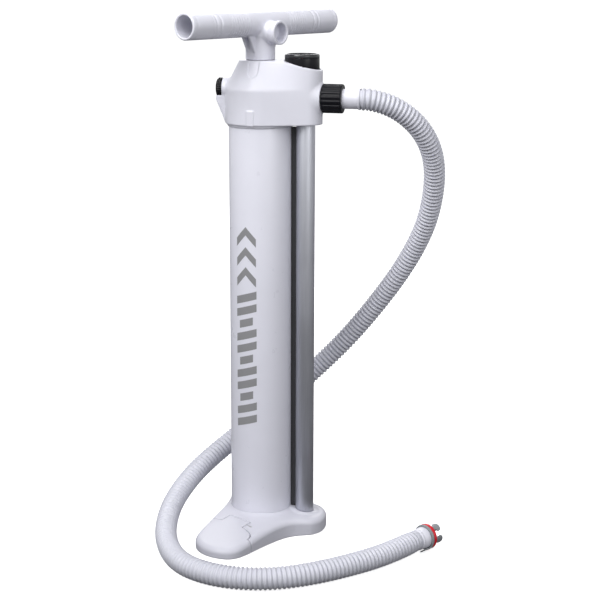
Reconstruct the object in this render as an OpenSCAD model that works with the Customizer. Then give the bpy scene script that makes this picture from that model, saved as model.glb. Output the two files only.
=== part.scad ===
// Double action hand pump: T-handle piston pump with a return tube beside the
// barrel, folding foot base, pressure gauge and a corrugated hose.
// Origin on the barrel axis at floor level, +Z up, +X towards the side tube
// and the hose outlet, the two feet fold out towards -Y and +Y.

/* [Barrel] */
// Outer diameter of the pump barrel
barrel_d = 75; // [73:0.5:75]
// Wall thickness of the barrel
barrel_wall = 2.5; // [2:0.25:3]
// Height of the head's lower rim above the floor
head_z = 500; // [440:5:520]

/* [Side tube] */
// Outer diameter of the aluminium side tube
side_d = 22.2; // [20:0.1:22.2]
// Distance from barrel axis to side tube axis
side_x = 54.7; // [54:0.1:56]

/* [Head] */
// Outer diameter of the head's straight wall
head_d = 83; // [82:0.5:86]
// Height of the head's straight wall
head_wall_h = 41; // [38:1:44]
// Height of the head from its rim to its flat top
head_h = 73.6; // [72:0.2:76]

/* [Piston and rod] */
// Outer diameter of the piston rod
rod_d = 20; // [18:0.5:20]
// Thickness of the piston
piston_h = 24; // [22:1:26]

/* [Handle] */
// Outer diameter of the handle's cross tube
grip_d = 30.5; // [28:0.5:32]
// Bore diameter of the handle's open ends
grip_bore_d = 24.6; // [20:0.2:25]
// Half length of the handle
handle_half = 130; // [110:5:140]
// Height of the handle's axis above the floor
handle_z = 615.4; // [612:0.2:620]
// Turn of the handle about the rod, away from the Y axis
handle_turn = -25.5; // [-90:0.5:90]

/* [Foot] */
// Height of the foot's top at the barrel
foot_h = 26; // [25:0.5:28]
// Radius of the foot's rounded top edge
foot_round = 7; // [5:0.5:8]
// Height of the toe hinge pin
toe_pin_z = 19.2; // [19:0.1:19.3]

/* [Hose] */
// Outer diameter of the corrugated hose
hose_d = 26; // [24:0.5:26]
// Outer diameter of the smooth cuff at the pump
cuff_d = 22.8; // [22:0.2:22.8]

/* [Gauge] */
// Outer diameter of the pressure gauge
gauge_d = 40.8; // [38:0.2:41]

/* [Hidden] */
$fn = 64;
white = [0.86, 0.86, 0.89];
black = [0.08, 0.08, 0.09];
rubber = [0.12, 0.12, 0.12];

br = barrel_d / 2;                 // barrel outer radius
bi = br - barrel_wall;             // barrel bore radius
sr = side_d / 2;
hr = head_d / 2;
rr = rod_d / 2;
floor_z = 10;                      // inside floor of the barrel socket
top_z = head_z + head_h;           // flat top of the head
wall_z = head_z + head_wall_h;     // edge between straight wall and cone
lobe_x = 52.7;                     // head lobe round the side tube
lobe_r = 21.5;
lobe_top = head_z + 63.5;
bar_top = head_z + 20;             // upper end of the barrel
out_z = head_z + 30.4;             // hose outlet axis
cap_z = head_z + 40.3;             // mode cap axis
gauge_x = 50;
gr = gauge_d / 2;
seat_z = head_z + 60.6;            // seat of the gauge
hose_x0 = 117.5;                   // start of the corrugated hose

// ring with an outer and an inner radius, standing on z
module ring(ro, ri, z0, z1) {
  difference() {
    translate([0, 0, z0]) cylinder(r = ro, h = z1 - z0);
    translate([0, 0, z0 - 1]) cylinder(r = ri, h = z1 - z0 + 2);
  }
}
// cylinder lying along +X, from x0 to x1
module rodx(r, x0, x1) { translate([x0, 0, 0]) rotate([0, 90, 0]) cylinder(r = r, h = x1 - x0); }
// ring lying along +X
module ringx(ro, ri, x0, x1) {
  difference() { rodx(ro, x0, x1); rodx(ri, x0 - 1, x1 + 1); }
}
// mushroom check valve: a thin flap with a stem and a retaining bulb, flap on z = 0, stem down
module flap(r, t, floor_t) {
  union() {
    cylinder(r = r, h = t);
    translate([0, 0, -floor_t]) cylinder(r = 1.4, h = floor_t + 0.1);
    translate([0, 0, -floor_t - 1.6]) cylinder(r1 = 1.2, r2 = 2.2, h = 1.6);
  }
}
// port holes that a flap covers
module ports(r_hole, r_ring, n, z0, z1) {
  for (i = [0 : n - 1]) rotate([0, 0, i * 360 / n]) translate([r_ring, 0, z0]) cylinder(r = r_hole, h = z1 - z0);
  translate([0, 0, z0]) cylinder(r = 1.42, h = z1 - z0);
}

// ---------- foot: plan outline, top profile, toe split ----------
half = [[-46, 0], [-49, -30], [-54, -60], [-58, -86], [-56, -100], [-47, -113], [-34, -122],
        [-20, -126], [-8, -125.5], [2, -119], [10, -106], [20, -84], [30, -64], [40, -48],
        [50, -38], [61, -32], [71, -27], [78, -18], [81, -7]];
n_half = len(half);
outline = concat(half, [for (i = [n_half - 1 : -1 : 1]) [half[i][0], -half[i][1]]]);
no = len(outline);
function unit(v) = v / norm(v);
function turn_in(v) = [-v[1], v[0]];
function in_normal(i) = turn_in(unit(outline[(i + 1) % no] - outline[(i + no - 1) % no]));
function inset(d) = [for (i = [0 : no - 1]) outline[i] + min(d, (norm(outline[i]) - 40.5) / 2) * in_normal(i)];
// the foot's top falls gently away from the barrel
fall = 0.14;
module roof() {
  rotate_extrude() polygon([[0, -20], [220, -20], [220, foot_h - 2 - fall * 179], [41, foot_h - 2], [38.5, foot_h], [0, foot_h]]);
}
// the rounded top edge is a step of two layers
module foot_blank() {
  union() {
    intersection() {
      linear_extrude(40) polygon(outline);
      translate([0, 0, -0.6 * foot_round]) roof();
    }
    intersection() {
      linear_extrude(40) polygon(inset(0.35 * foot_round));
      roof();
    }
  }
}

// toe hinge frame: origin on the hinge pin, local -Y points out along the foot
toe_at = [-17.7, -56.1];
toe_turn = -28;
module at_toe() { translate([toe_at[0], toe_at[1], 0]) rotate([0, 0, toe_turn]) children(); }
tongue_w = 17.1;
toe_cut = [[-70, -10], [-28, -9], [-tongue_w, -7.3], [-tongue_w, 7.6], [tongue_w, 7.6], [tongue_w, -7.3],
           [24, -8.4], [30, -10.3], [35, -12.8], [38.6, -16], [41, -20], [42, -24], [70, -25], [70, -110], [-70, -110]];
slot_cut = [[-70, -9.6], [-28, -8.6], [-tongue_w - 0.4, -6.9], [tongue_w + 0.4, -6.9], [24, -8], [30.1, -9.9], [35.3, -12.4], [39, -15.8], [41.4, -19.9], [42.4, -23.6], [70, -24.6], [70, -110], [-70, -110]];

module toe_shape() {
  color(white) difference() {
    intersection() {
      foot_blank();
      at_toe() translate([0, 0, -1]) linear_extrude(40) polygon(toe_cut);
    }
    // the tongue is a plate round the pin
    at_toe() translate([-30, -7.1, -1]) cube([60, 30, toe_pin_z - 5 + 1]);
    at_toe() translate([0, 0, toe_pin_z]) rodx(1.55, -40, 40);
  }
}
module front_toe() { toe_shape(); }
module rear_toe() { mirror([0, 1, 0]) toe_shape(); }
module pin_shape() { color("silver") at_toe() translate([0, 0, toe_pin_z]) rodx(1.5, -24, 26); }
module front_hinge_pin() { pin_shape(); }
module rear_hinge_pin() { mirror([0, 1, 0]) pin_shape(); }

module toe_clear() {
  at_toe() {
    translate([0, 0, -1]) linear_extrude(40) polygon(slot_cut);
    translate([-tongue_w - 0.4, -12, 8]) cube([2 * tongue_w + 0.8, 20.9, 40]);
    translate([0, 0, toe_pin_z]) rodx(1.52, -24.2, 26.2);
  }
}
module base() {
  color(white) difference() {
    foot_blank();
    toe_clear();
    mirror([0, 1, 0]) toe_clear();
    // barrel socket
    translate([0, 0, floor_z]) cylinder(r = br + 0.05, h = 40);
    // side tube socket and its air hole
    translate([side_x, 0, floor_z]) cylinder(r = sr + 0.05, h = 40);
    translate([side_x, 0, 2.5]) cylinder(r = 6.5, h = 20);
    // air channel from the barrel to the side tube
    translate([18, -8, 2.6]) cube([side_x - 18, 16, 4.4]);
    translate([18, 0, 2.6]) cylinder(r = 8, h = 4.4);
    translate([side_x, 0, 2.6]) cylinder(r = 8, h = 4.4);
    translate([18, 0, 0]) ports(1.6, 5, 6, 2, 20);
    // intake plenum
    translate([-16, 0, 2.6]) cylinder(r = 11, h = 4.4);
    translate([-16, 0, 0]) ports(1.7, 5.4, 6, 2, 20);
    // recess for the cover plate and its screws
    translate([0, 0, -1]) linear_extrude(3.6) cover_plan(0.15);
    for (p = screw_at) translate([p[0], p[1], 0]) cylinder(r = 1.62, h = 8.2);
  }
}
screw_at = [[-22.5, -15.5], [-22.5, 15.5], [60, -13.5], [60, 13.5]];
module cover_plan(g) {
  union() {
    circle(r = 32 + g);
    translate([20, -18 - g]) square([42, 36 + 2 * g]);
    translate([62, 0]) intersection() { circle(r = 18 + g); translate([-1, -30]) square([60, 60]); }
  }
}
module base_cover() {
  color(white) difference() {
    linear_extrude(2.5) cover_plan(0);
    // intake grille
    for (a = [0 : 60 : 300]) rotate([0, 0, 0]) translate([-16 + 6 * cos(a), 6 * sin(a), -1]) cylinder(r = 1.8, h = 5);
    for (p = screw_at) translate([p[0], p[1], -1]) cylinder(r = 1.75, h = 5);
    for (p = screw_at) translate([p[0], p[1], -0.01]) cylinder(r1 = 3.4, r2 = 1.75, h = 1.65);
  }
}
module base_screws() {
  color("silver") for (p = screw_at) translate([p[0], p[1], 0]) union() {
    translate([0, 0, 0.2]) cylinder(r1 = 3.05, r2 = 1.5, h = 1.5);
    translate([0, 0, 1]) cylinder(r = 1.6, h = 7);
  }
}
module barrel() { color(white) ring(br, bi, floor_z + 1.6, bar_top); }
module barrel_foot_gasket() { color(rubber) ring(br, bi - 0.4, floor_z, floor_z + 1.6); }
module barrel_top_gasket() { color(rubber) ring(br, bi - 0.4, bar_top, bar_top + 1.6); }
module side_tube() { color("silver") translate([side_x, 0, 0]) ring(sr, sr - 1.5, floor_z + 1.6, head_z + 18); }
// dark strip that closes the gap between the two tubes
module joining_strip() { color(black) translate([br + 0.05, -1.5, foot_h + 0.6]) cube([side_x - sr - br - 0.1, 3, head_z - 3.4 - foot_h - 0.6]); }
module side_tube_foot_gasket() { color(rubber) translate([side_x, 0, 0]) ring(sr, 7, floor_z, floor_z + 1.6); }
module side_tube_top_gasket() { color(rubber) translate([side_x, 0, 0]) ring(sr, 7, head_z + 18, head_z + 19.6); }
module foot_intake_valve() { color(rubber) translate([-16, 0, floor_z]) flap(8.6, 1.2, 3); }
module foot_outlet_valve() { color(rubber) translate([18, 0, 7]) rotate([180, 0, 0]) flap(7.4, 1.1, 3); }

// ---------- head ----------
module head() {
  color(white) difference() {
    union() {
      // straight wall round barrel and side tube
      hull() {
        translate([0, 0, head_z]) cylinder(r = hr, h = head_wall_h, $fn = 96);
        translate([lobe_x, 0, head_z]) cylinder(r = lobe_r, h = head_wall_h, $fn = 64);
      }
      // cone under the handle, running out over the side tube
      hull() {
        translate([0, 0, wall_z - 0.1]) cylinder(r = hr, h = 0.1, $fn = 96);
        translate([lobe_x, 0, wall_z - 0.1]) cylinder(r = lobe_r, h = lobe_top - wall_z + 0.1, $fn = 64);
        translate([0, 0, top_z - 0.1]) cylinder(r = 24.5, h = 0.1, $fn = 64);
      }
      translate([0, 0, head_z - 3]) cylinder(r = br + 1.8, h = 4);
      // outlet boss and spigot
      translate([0, 0, out_z]) rodx(12, 60, 90);
      translate([70, 0, out_z]) rotate([0, 90, 0]) cylinder(r1 = 18.5, r2 = 15.5, h = 4);
      // mode port boss and the gusset below it
      translate([0, 0, cap_z]) rodx(12.4, -44.5, -30);
      translate([0, 10, 0]) rotate([90, 0, 0]) linear_extrude(20)
        polygon([[-30, cap_z - 4], [-46, cap_z - 4], [-52, cap_z - 12.4], [-41.5, head_z + 2], [-30, head_z + 2]]);
      // latch tab on the front
      rotate([0, 0, -93]) translate([hr - 3, -4, head_z]) cube([3.8, 8, 17]);
    }
    // sockets
    translate([0, 0, head_z - 5]) cylinder(r = br + 0.05, h = 26.6);
    translate([side_x, 0, head_z - 5]) cylinder(r = sr + 0.05, h = 24.6);
    // top chamber
    translate([0, 0, head_z + 20]) cylinder(r = bi - 1, h = 10);
    // rod passage, seal and bush seats
    translate([0, 0, head_z + 20]) cylinder(r = rr + 0.5, h = 80);
    translate([0, 0, head_z + 46]) cylinder(r = 14.02, h = 40);
    translate([0, 0, top_z - 1]) cylinder(r = 16.02, h = 10);
    // air intake in the rear of the cone, with ports under it
    translate([0, 27, head_z + 34]) cylinder(r = 6, h = 50);
    translate([0, 27, 0]) ports(1.4, 4.2, 5, head_z + 25, head_z + 36);
    // front recess
    rotate([0, 0, -93]) translate([37, 0, head_z + 61]) rotate([0, 90, 0]) translate([0, 0, -8]) cylinder(r = 6.2, h = 20);
    rotate([0, 0, -93]) translate([29, -6.2, head_z + 61]) cube([20, 12.4, 20]);
    // manifold above the side tube
    translate([side_x, 0, head_z + 18]) cylinder(r = 8, h = 22);
    translate([0, 0, out_z]) rodx(8, side_x, 95);
    translate([0, 0, head_z + 25.5]) rodx(3.2, 30, 44);
    translate([44, 0, head_z + 29]) rotate([0, 90, 0]) ports(1.4, 4.2, 5, -3, 3.2);
    translate([0, 0, head_z + 29]) rodx(6.2, 38.5, 41);
    translate([0, 0, head_z + 29]) rodx(8, 44.1, 56);
    // mode port, bored into the top chamber
    translate([0, 0, cap_z]) rodx(6.5, -60, -24);
    translate([-27, 0, head_z + 25]) cylinder(r = 4.5, h = 16);
    translate([0, 0, cap_z]) ringx(13, 12.5, -60, -44.5);
    translate([0, 0, cap_z]) rodx(12.5, -60, -44.6);
    // gauge seat and its threaded port
    translate([gauge_x, 0, seat_z]) cylinder(r = gr + 0.3, h = 40);
    translate([gauge_x, 0, head_z + 45]) cylinder(r = 5.02, h = 20);
    translate([gauge_x, 0, head_z + 30]) cylinder(r = 1.8, h = 20);
  }
}
module rod_bush() {
  color("dimgray") union() {
    ring(14, rr + 0.06, head_z + 52, top_z - 0.5);
    ring(16, rr + 0.06, top_z - 1, top_z);
  }
}
module rod_seal() { color(rubber) ring(14, rr + 0.05, head_z + 46, head_z + 52); }
module head_intake_valve() { color(rubber) translate([0, 27, head_z + 30]) rotate([180, 0, 0]) flap(6.4, 1.1, 4); }
module head_outlet_valve() { color(rubber) translate([44.1, 0, head_z + 29]) rotate([0, 90, 0]) flap(6.4, 1.1, 3.1); }

// ---------- piston, rod and handle ----------
pz = 14;                                   // underside of the piston at rest
module piston() {
  color("gainsboro") difference() {
    translate([0, 0, pz]) cylinder(r = bi - 0.2, h = piston_h);
    translate([0, 0, pz - 1]) cylinder(r = 7.2, h = 6);
    translate([0, 0, pz]) cylinder(r = 3.05, h = 40);
    translate([0, 0, pz + 16]) cylinder(r = rr + 0.1, h = 40);
    ring(40, bi - 3.5, pz + 7, pz + 12);
    ring(40, bi - 2, pz + 15, pz + 20);
  }
}
module piston_seal() { color(rubber) ring(bi - 0.06, bi - 3.5, pz + 7.1, pz + 11.9); }
module piston_guide_ring() { color("tan") ring(bi - 0.06, bi - 2, pz + 15.1, pz + 19.9); }
module piston_washer() { color("silver") ring(6.8, 3.02, pz + 3.8, pz + 4.8); }
module piston_bolt() {
  color("silver") union() {
    translate([0, 0, pz + 0.6]) cylinder(r = 5, h = 3.2);
    translate([0, 0, pz + 2]) cylinder(r = 3, h = 36);
  }
}
module rod_plug() { color("dimgray") ring(rr - 2.02, 3.01, pz + 16.4, pz + 46); }
module piston_rod() {
  color("silver") difference() {
    ring(rr, rr - 2, pz + 16.2, handle_z - 17);
    rotate([0, 0, handle_turn]) translate([0, 0, 586]) rodx(2.55, -14, -5);
  }
}
module handle_screw() {
  color("silver") rotate([0, 0, handle_turn]) translate([0, 0, 586]) union() {
    rodx(2.5, -14.2, -7.4);
    rodx(4.4, -16.4, -14);
  }
}
module handle() {
  color(white) rotate([0, 0, handle_turn]) difference() {
    union() {
      translate([0, -handle_half, handle_z]) rotate([-90, 0, 0]) cylinder(r = grip_d / 2, h = 2 * handle_half);
      // slightly larger end collars
      for (s = [-1, 1]) translate([0, s * (handle_half - 7.5), handle_z]) rotate([-90, 0, 0])
        cylinder(r = grip_d / 2 + 0.25, h = 3, center = true);
      // neck
      translate([0, 0, top_z + 0.4]) cylinder(r = 17.35, h = handle_z - top_z - 4);
      translate([0, 0, top_z + 16]) cylinder(r1 = 17.35, r2 = 19.5, h = 12);
      // gussets along the bar
      for (y = [-5, 5]) translate([y + 1.5, 0, 0]) rotate([0, -90, 0]) linear_extrude(3)
        polygon([[top_z + 8, -17], [handle_z - 12, -28.2], [handle_z - 4, -28.2], [handle_z - 4, 28.2], [handle_z - 12, 28.2], [top_z + 8, 17]]);
      // parking socket for the hose fitting
      translate([0, 0, handle_z - 10]) rodx(13.2, 0, 27);
      translate([0, 0, handle_z - 10]) rodx(13.75, 26, 31);
    }
    for (s = [0, 180]) rotate([0, 0, s]) translate([0, handle_half - 104, handle_z]) rotate([-90, 0, 0])
      cylinder(r = grip_bore_d / 2, h = 110);
    translate([0, 0, handle_z - 10]) rodx(10.8, 19, 40);
    translate([0, 0, top_z - 1]) cylinder(r = rr + 0.03, h = handle_z - 16.8 - top_z + 1);
    translate([0, 0, 586]) rodx(2.52, -30, -5);
    translate([0, 0, 586]) rodx(4.6, -30, -14);
    // grip grooves
    for (s = [-1, 1], k = [0, 1]) translate([0, s * (84 + 7 * k), handle_z]) rotate([-90, 0, 0])
      difference() { cylinder(r = 20, h = 1.4, center = true); cylinder(r = grip_d / 2 - 0.6, h = 3, center = true); }
  }
}

// ---------- pressure gauge ----------
module gauge_case() {
  color(black) translate([gauge_x, 0, 0]) difference() {
    union() {
      translate([0, 0, seat_z + 0.6]) cylinder(r = gr, h = 15.4);
      translate([0, 0, head_z + 46]) cylinder(r = 5, h = 16);
    }
    translate([0, 0, seat_z + 3]) cylinder(r = gr - 2.4, h = 40);
    translate([0, 0, head_z + 40]) cylinder(r = 1.8, h = 40);
  }
}
module gauge_gasket() { color(rubber) translate([gauge_x, 0, 0]) ring(9, 5.1, seat_z, seat_z + 0.6); }
module gauge_movement() {
  color("goldenrod") translate([gauge_x, 0, 0]) union() {
    translate([0, 0, seat_z + 3]) cylinder(r = 4, h = 2);
    translate([0, 0, seat_z + 5]) cylinder(r = 12, h = 4);
    translate([0, 0, seat_z + 9]) cylinder(r = 3, h = 2.5);
    translate([0, 0, seat_z + 11]) cylinder(r = 0.8, h = 4.5);
  }
}
module gauge_dial() { color("white") translate([gauge_x, 0, 0]) ring(gr - 2.5, 1.1, seat_z + 12, seat_z + 12.8); }
// the needle points to the pump's left, at its zero stop
module gauge_needle() {
  color("red") translate([gauge_x, 0, seat_z + 13.6]) difference() {
    union() {
      cylinder(r = 2.4, h = 1);
      rotate([0, 0, 225]) translate([0, -0.6, 0]) cube([13, 1.2, 0.7]);
      rotate([0, 0, 45]) translate([0, -0.9, 0]) cube([5, 1.8, 0.7]);
    }
    translate([0, 0, -1]) cylinder(r = 0.85, h = 5);
  }
}
module gauge_lens() { color([0.8, 0.9, 1, 0.4]) translate([gauge_x, 0, seat_z + 16]) cylinder(r = gr - 2.8, h = 2); }
module gauge_bezel() {
  color(black) translate([gauge_x, 0, seat_z + 16]) rotate_extrude() union() {
    polygon([[gr - 2.7, 0], [gr, 0], [gr, 1.6], [gr - 0.35, 3], [gr - 1.3, 4.1], [gr - 2.7, 4.7], [gr - 3.8, 4.8], [gr - 3.8, 2.1], [gr - 2.7, 2.1]]);
  }
}

// ---------- mode cap ----------
module mode_cap() {
  color(black) translate([0, 0, cap_z]) difference() {
    union() {
      rodx(11.4, -52, -44.7);
      for (i = [0 : 19]) rotate([i * 18, 0, 0]) translate([-51.2, -0.8, 10.8]) cube([6, 1.6, 1.1]);
      rodx(6.3, -45, -36);
    }
    rodx(4.6, -43, -30);
  }
}
module mode_cap_gasket() { color(rubber) translate([0, 0, cap_z]) ringx(6.3, 4.7, -35.9, -34.7); }

// ---------- outlet, hose and valve fitting ----------
module union_nut() {
  color(black) translate([0, 0, out_z]) difference() {
    union() {
      rodx(16.3, 74.4, 99);
      for (i = [0 : 17]) rotate([i * 20, 0, 0]) translate([75.4, -1.6, 15.4]) cube([22.6, 3.2, 1.5]);
    }
    rodx(12.1, 70, 94.2);
    rodx(cuff_d / 2 + 0.1, 90, 100);
  }
}
module outlet_gasket() { color(rubber) translate([0, 0, out_z]) ringx(11.8, 8.2, 90, 91); }
module pump_cuff() {
  color(white) translate([0, 0, out_z]) difference() {
    union() {
      rodx(cuff_d / 2, 91, hose_x0);
      rodx(12, 91, 94);
      rodx(12.4, hose_x0 - 4, hose_x0);
    }
    rodx(8.2, 80, 130);
  }
}
// route of the hose: out of the nut, down behind the pump, round its left side
// and along the floor in front
hr0 = hose_d / 2;
route = [[hose_x0, 0, out_z], [138, 4, 529], [156, 12, 522], [171, 21, 511], [183, 31, 498], [192, 43, 481],
         [197, 57, 462], [198, 70, 441], [196, 82, 419], [186, 104, 376], [168, 122, 335],
         [145, 133, 296], [119, 140, 259], [92, 142, 224], [63, 139, 191], [37, 131, 165],
         [14, 121, 143], [-9, 109, 123], [-31, 93, 104], [-52, 72, 86], [-74, 42, 69],
         [-92, 4, 52], [-101, -45, 34], [-98, -80, 24], [-91, -108, 18], [-75, -142, 14],
         [-54, -172, 13.4], [-31, -190, 13.4], [-9, -199, 13.4], [11, -203, 13.4], [30, -203, 13.4],
         [48, -200, 13.4], [66, -194, 13.4], [98, -175, 13.4], [129, -148, 13.4], [159, -116, 13.4],
         [175, -95, 13.6], [189, -74, 14.4], [203, -52.4, 15.6]];
end_az = 57;
nr = len(route);
hose_sides = 12;
function tangent(i) = i == 0 ? [1, 0, 0] : i == nr - 1 ? [cos(end_az), sin(end_az), 0] : unit(route[i + 1] - route[i - 1]);
function side_of(t) = unit(cross([0, 0, 1], t));
module hose() {
  pts = [for (i = [0 : nr - 1], k = [0 : hose_sides - 1])
    let (t = tangent(i), s = side_of(t), u = cross(t, s), a = 360 * k / hose_sides)
    route[i] + hr0 * (cos(a) * s + sin(a) * u)];
  faces = concat(
    [[for (k = [hose_sides - 1 : -1 : 0]) k]],
    [for (i = [0 : nr - 2], k = [0 : hose_sides - 1])
      let (m = (k + 1) % hose_sides, a = i * hose_sides, b = a + hose_sides)
      each [[a + k, a + m, b + m], [a + k, b + m, b + k]]],
    [[for (k = [0 : hose_sides - 1]) (nr - 1) * hose_sides + k]]);
  color(white) polyhedron(points = pts, faces = faces, convexity = 8);
}
module at_end() { translate(route[nr - 1]) rotate([0, 0, end_az]) children(); }
module end_cuff() { color(white) at_end() difference() { rodx(11.8, 0, 13); rodx(8.2, 4, 20); } }
module valve_fitting() {
  color("gray") at_end() difference() {
    union() {
      rodx(15.4, 12, 16.4);
      rodx(9.6, 16, 22);
      rodx(12.8, 20.4, 23);
      // four bayonet lugs
      for (a = [23 : 90 : 293]) rotate([a, 0, 0]) {
        translate([21.5, -4, 8]) cube([11, 8, 3]);
        translate([29, -4.5, 8.6]) cube([5, 9, 4]);
      }
      // finger tab
      rotate([-33, 0, 0]) translate([3.5, -5.5, -15.2]) cube([11, 11, 2]);
    }
    rodx(11.85, -5, 13.05);
    rodx(7, 5, 40);
  }
}
module valve_gasket() { color("red") at_end() ringx(14.9, 9.6, 16.4, 20.4); }

barrel();
side_tube();
joining_strip();
head();
rod_bush();
rod_seal();
barrel_top_gasket();
side_tube_top_gasket();
head_intake_valve();
head_outlet_valve();
base();
base_cover();
base_screws();
barrel_foot_gasket();
side_tube_foot_gasket();
foot_intake_valve();
foot_outlet_valve();
front_hinge_pin();
rear_hinge_pin();
front_toe();
rear_toe();
piston();
piston_seal();
piston_guide_ring();
piston_rod();
rod_plug();
piston_bolt();
piston_washer();
handle();
handle_screw();
gauge_case();
gauge_bezel();
gauge_lens();
gauge_dial();
gauge_movement();
gauge_gasket();
gauge_needle();
mode_cap();
mode_cap_gasket();
union_nut();
outlet_gasket();
pump_cuff();
hose();
end_cuff();
valve_fitting();
valve_gasket();
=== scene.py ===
import math
import bpy
import numpy as np
from mathutils import Matrix, Vector


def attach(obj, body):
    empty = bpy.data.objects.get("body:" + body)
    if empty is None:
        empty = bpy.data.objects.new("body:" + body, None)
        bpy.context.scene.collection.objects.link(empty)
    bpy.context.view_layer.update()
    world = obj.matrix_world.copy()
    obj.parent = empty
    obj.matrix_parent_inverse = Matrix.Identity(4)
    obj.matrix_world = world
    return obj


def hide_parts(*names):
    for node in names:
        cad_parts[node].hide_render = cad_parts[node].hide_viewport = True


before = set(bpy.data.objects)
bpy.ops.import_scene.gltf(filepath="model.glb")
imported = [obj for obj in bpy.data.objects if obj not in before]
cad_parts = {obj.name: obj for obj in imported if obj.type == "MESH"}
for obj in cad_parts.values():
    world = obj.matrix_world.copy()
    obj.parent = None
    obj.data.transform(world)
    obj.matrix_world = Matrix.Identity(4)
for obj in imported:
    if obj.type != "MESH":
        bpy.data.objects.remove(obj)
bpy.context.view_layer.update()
MM = 0.001
scene = bpy.context.scene

# ------------------------------------------------------------------ camera
def unit(v):
    v = np.asarray(v, float)
    return v / np.linalg.norm(v)


def camera():
    az, el, roll = math.radians(-77.0), math.radians(12.91), math.radians(0.18)
    dist, tx, tz, f = 1782.08, 47.05, 285.88, 1471.59
    back = np.array([math.cos(az) * math.cos(el), math.sin(az) * math.cos(el), math.sin(el)])
    right = np.array([-math.sin(az), math.cos(az), 0.0])
    up = np.cross(back, right)
    r2 = right * math.cos(roll) + up * math.sin(roll)
    u2 = up * math.cos(roll) - right * math.sin(roll)
    c = (np.array([0, 0, tz]) + right * tx + back * dist) * MM
    data = bpy.data.cameras.new("camera")
    data.sensor_width = 36.0
    data.lens = 36.0 * f / 600.0
    data.clip_start, data.clip_end = 0.05, 60.0
    o = bpy.data.objects.new("camera", data)
    scene.collection.objects.link(o)
    m = Matrix.Identity(4)
    for i in range(3):
        m[i][0], m[i][1], m[i][2], m[i][3] = r2[i], u2[i], back[i], c[i]
    o.matrix_world = m
    scene.camera = o


camera()

# ------------------------------------------------------------------ materials
def _new(name):
    m = bpy.data.materials.new(name)
    m.use_nodes = True
    nt = m.node_tree
    return m, nt, nt.nodes["Principled BSDF"], nt.links


def _coords(nt, stretch=(1, 1, 1)):
    tc = nt.nodes.new("ShaderNodeTexCoord")
    mp = nt.nodes.new("ShaderNodeMapping")
    mp.inputs["Scale"].default_value = stretch
    nt.links.new(tc.outputs["Object"], mp.inputs["Vector"])
    return mp.outputs["Vector"]


def _noise(nt, vec, scale, detail=3.0, rough=0.55):
    n = nt.nodes.new("ShaderNodeTexNoise")
    n.inputs["Scale"].default_value = scale
    n.inputs["Detail"].default_value = detail
    n.inputs["Roughness"].default_value = rough
    nt.links.new(vec, n.inputs["Vector"])
    return n.outputs["Fac"]


def _range(nt, fac, a, b, lo=0.3, hi=0.7):
    r = nt.nodes.new("ShaderNodeMapRange")
    r.inputs["From Min"].default_value, r.inputs["From Max"].default_value = lo, hi
    r.inputs["To Min"].default_value, r.inputs["To Max"].default_value = a, b
    nt.links.new(fac, r.inputs["Value"])
    return r.outputs["Result"]


def _mix(nt, fac, a, b):
    m = nt.nodes.new("ShaderNodeMix")
    m.data_type = "RGBA"
    m.inputs["A"].default_value = (*a, 1)
    m.inputs["B"].default_value = (*b, 1)
    nt.links.new(fac, m.inputs["Factor"])
    return m.outputs["Result"]


def _bump(nt, height, strength, distance):
    b = nt.nodes.new("ShaderNodeBump")
    b.inputs["Strength"].default_value = strength
    b.inputs["Distance"].default_value = distance
    nt.links.new(height, b.inputs["Height"])
    return b.outputs["Normal"]


def plastic(name, color, rough=0.4, grain=2600.0, bump=0.12, vary=0.03, coat=0.0, spec=0.5, sss=0.0, flow=0.0, gloss=0.03):
    """Moulded plastic: fine spark-eroded grain, a little colour drift, uneven gloss."""
    m, nt, p, l = _new(name)
    vec = _coords(nt)
    c = np.array(color)
    drift = _noise(nt, vec, 14.0, 4.0)
    l.new(_mix(nt, _range(nt, drift, 0, 1), tuple(c * (1 - vary)), tuple(np.minimum(c * (1 + vary), 1))), p.inputs["Base Color"])
    l.new(_range(nt, _noise(nt, vec, 60.0, 5.0), rough - gloss, rough + gloss), p.inputs["Roughness"])
    fine = _noise(nt, vec, grain, 2.0, 0.5)
    if flow:
        lo = _noise(nt, vec, 120.0, 3.0)
        a = nt.nodes.new("ShaderNodeMath"); a.operation = "MULTIPLY_ADD"
        l.new(lo, a.inputs[0]); a.inputs[1].default_value = flow; l.new(fine, a.inputs[2])
        fine = a.outputs[0]
    l.new(_bump(nt, fine, bump, 0.00015), p.inputs["Normal"])
    p.inputs["Specular IOR Level"].default_value = spec
    if coat:
        p.inputs["Coat Weight"].default_value = coat
        p.inputs["Coat Roughness"].default_value = 0.12
    if sss:
        p.inputs["Subsurface Weight"].default_value = sss
        p.inputs["Subsurface Radius"].default_value = (0.004, 0.004, 0.005)
        p.inputs["Subsurface Scale"].default_value = 0.6
    return m


def metal(name, color, rough=0.3, stretch=(1, 1, 0.02), streak=0.12, aniso=0.4):
    """Drawn or brushed metal: fine streaks along the part in colour, gloss and relief."""
    m, nt, p, l = _new(name)
    vec = _coords(nt, stretch)
    c = np.array(color)
    st = _noise(nt, vec, 900.0, 6.0, 0.65)
    big = _noise(nt, _coords(nt), 18.0, 3.0)
    l.new(_mix(nt, _range(nt, st, 0, 1), tuple(c * (1 - streak)), tuple(np.minimum(c * (1 + streak), 1))), p.inputs["Base Color"])
    l.new(_range(nt, big, rough - 0.04, rough + 0.08), p.inputs["Roughness"])
    p.inputs["Metallic"].default_value = 1.0
    p.inputs["Anisotropic"].default_value = aniso
    l.new(_bump(nt, st, 0.05, 0.0001), p.inputs["Normal"])
    return m


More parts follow.
